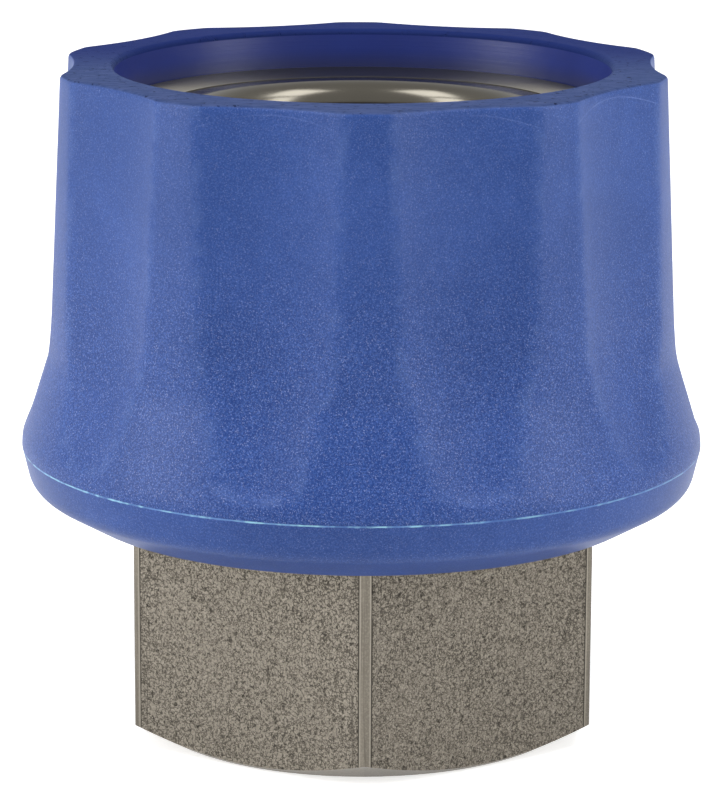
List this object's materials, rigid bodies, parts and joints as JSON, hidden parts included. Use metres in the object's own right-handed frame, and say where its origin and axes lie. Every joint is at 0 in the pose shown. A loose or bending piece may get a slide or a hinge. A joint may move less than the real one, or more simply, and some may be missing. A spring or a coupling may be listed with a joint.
{
  "type": "quick coupling",
  "caption": "Ball-lock quick coupling socket with hexagonal steel body, female inlet thread, sprung locking sleeve under a fluted blue plastic grip, and a shut-off poppet",
  "frame": {"origin": "centre of the hexagon's bottom face, on which the coupling stands", "axes": "+Z is the coupling's axis and points out of the mouth; the hexagon has a corner and the grip has a land towards -Y, where the camera stands"},
  "size_m": [0.0454, 0.0454, 0.0443],
  "materials": {
    "body_steel": "bead-blasted, speckled",
    "socket_steel": "fine turned",
    "polished_steel": "fine turned, bright",
    "ball_steel": "polished",
    "spring_wire": "drawn wire",
    "blue_plastic": "spark-eroded satin",
    "guide_plastic": "satin",
    "seal_rubber": "matte"
  },
  "bodies": {
    "coupling_body": {"hex_body": "body_steel", "socket_body": "socket_steel", "body_seal": "seal_rubber", "valve_guide": "guide_plastic", "valve_spring": "spring_wire", "plug_seal": "seal_rubber", "backup_ring": "guide_plastic", "stop_ring": "spring_wire", "return_spring": "spring_wire"},
    "slip_ring": {"slip_washer": "polished_steel"},
    "sleeve": {"locking_sleeve": "polished_steel", "grip_sleeve": "blue_plastic", "grip_retaining_ring": "spring_wire"},
    "valve": {"valve_poppet": "polished_steel", "valve_seal": "seal_rubber"},
    "ball_1": {"locking_ball_1": "ball_steel"},
    "ball_2": {"locking_ball_2": "ball_steel"},
    "ball_3": {"locking_ball_3": "ball_steel"},
    "ball_4": {"locking_ball_4": "ball_steel"},
    "ball_5": {"locking_ball_5": "ball_steel"},
    "ball_6": {"locking_ball_6": "ball_steel"},
    "ball_7": {"locking_ball_7": "ball_steel"},
    "ball_8": {"locking_ball_8": "ball_steel"}
  },
  "joints": [
    {"name": "sleeve_slide", "type": "slide", "parent": "coupling_body", "child": "slip_ring", "axis": [0, 0, -1], "range_m": [0, 0.003], "stiffness_N_per_m": 1500, "springref_m": -0.004, "deforming": ["return_spring"]},
    {"name": "sleeve_turn", "type": "hinge", "parent": "slip_ring", "child": "sleeve", "pos_m": [0, 0, 0.03], "axis": [0, 0, 1], "continuous": true},
    {"name": "valve_slide", "type": "slide", "parent": "coupling_body", "child": "valve", "axis": [0, 0, -1], "range_m": [0, 0.0026], "stiffness_N_per_m": 500, "springref_m": -0.003, "deforming": ["valve_spring"]},
    {"name": "ball_1_slide", "type": "slide", "parent": "coupling_body", "child": "ball_1", "axis": [0.9239, 0.3827, 0], "range_m": [0, 0.0012]},
    {"name": "ball_2_slide", "type": "slide", "parent": "coupling_body", "child": "ball_2", "axis": [0.3827, 0.9239, 0], "range_m": [0, 0.0012]},
    {"name": "ball_3_slide", "type": "slide", "parent": "coupling_body", "child": "ball_3", "axis": [-0.3827, 0.9239, 0], "range_m": [0, 0.0012]},
    {"name": "ball_4_slide", "type": "slide", "parent": "coupling_body", "child": "ball_4", "axis": [-0.9239, 0.3827, 0], "range_m": [0, 0.0012]},
    {"name": "ball_5_slide", "type": "slide", "parent": "coupling_body", "child": "ball_5", "axis": [-0.9239, -0.3827, 0], "range_m": [0, 0.0012]},
    {"name": "ball_6_slide", "type": "slide", "parent": "coupling_body", "child": "ball_6", "axis": [-0.3827, -0.9239, 0], "range_m": [0, 0.0012]},
    {"name": "ball_7_slide", "type": "slide", "parent": "coupling_body", "child": "ball_7", "axis": [0.3827, -0.9239, 0], "range_m": [0, 0.0012]},
    {"name": "ball_8_slide", "type": "slide", "parent": "coupling_body", "child": "ball_8", "axis": [0.9239, -0.3827, 0], "range_m": [0, 0.0012]}
  ],
  "couplings": [
    {"joint": "ball_1_slide", "follows": "sleeve_slide", "ratio": 0.36667},
    {"joint": "ball_2_slide", "follows": "sleeve_slide", "ratio": 0.36667},
    {"joint": "ball_3_slide", "follows": "sleeve_slide", "ratio": 0.36667},
    {"joint": "ball_4_slide", "follows": "sleeve_slide", "ratio": 0.36667},
    {"joint": "ball_5_slide", "follows": "sleeve_slide", "ratio": 0.36667},
    {"joint": "ball_6_slide", "follows": "sleeve_slide", "ratio": 0.36667},
    {"joint": "ball_7_slide", "follows": "sleeve_slide", "ratio": 0.36667},
    {"joint": "ball_8_slide", "follows": "sleeve_slide", "ratio": 0.36667}
  ]
}
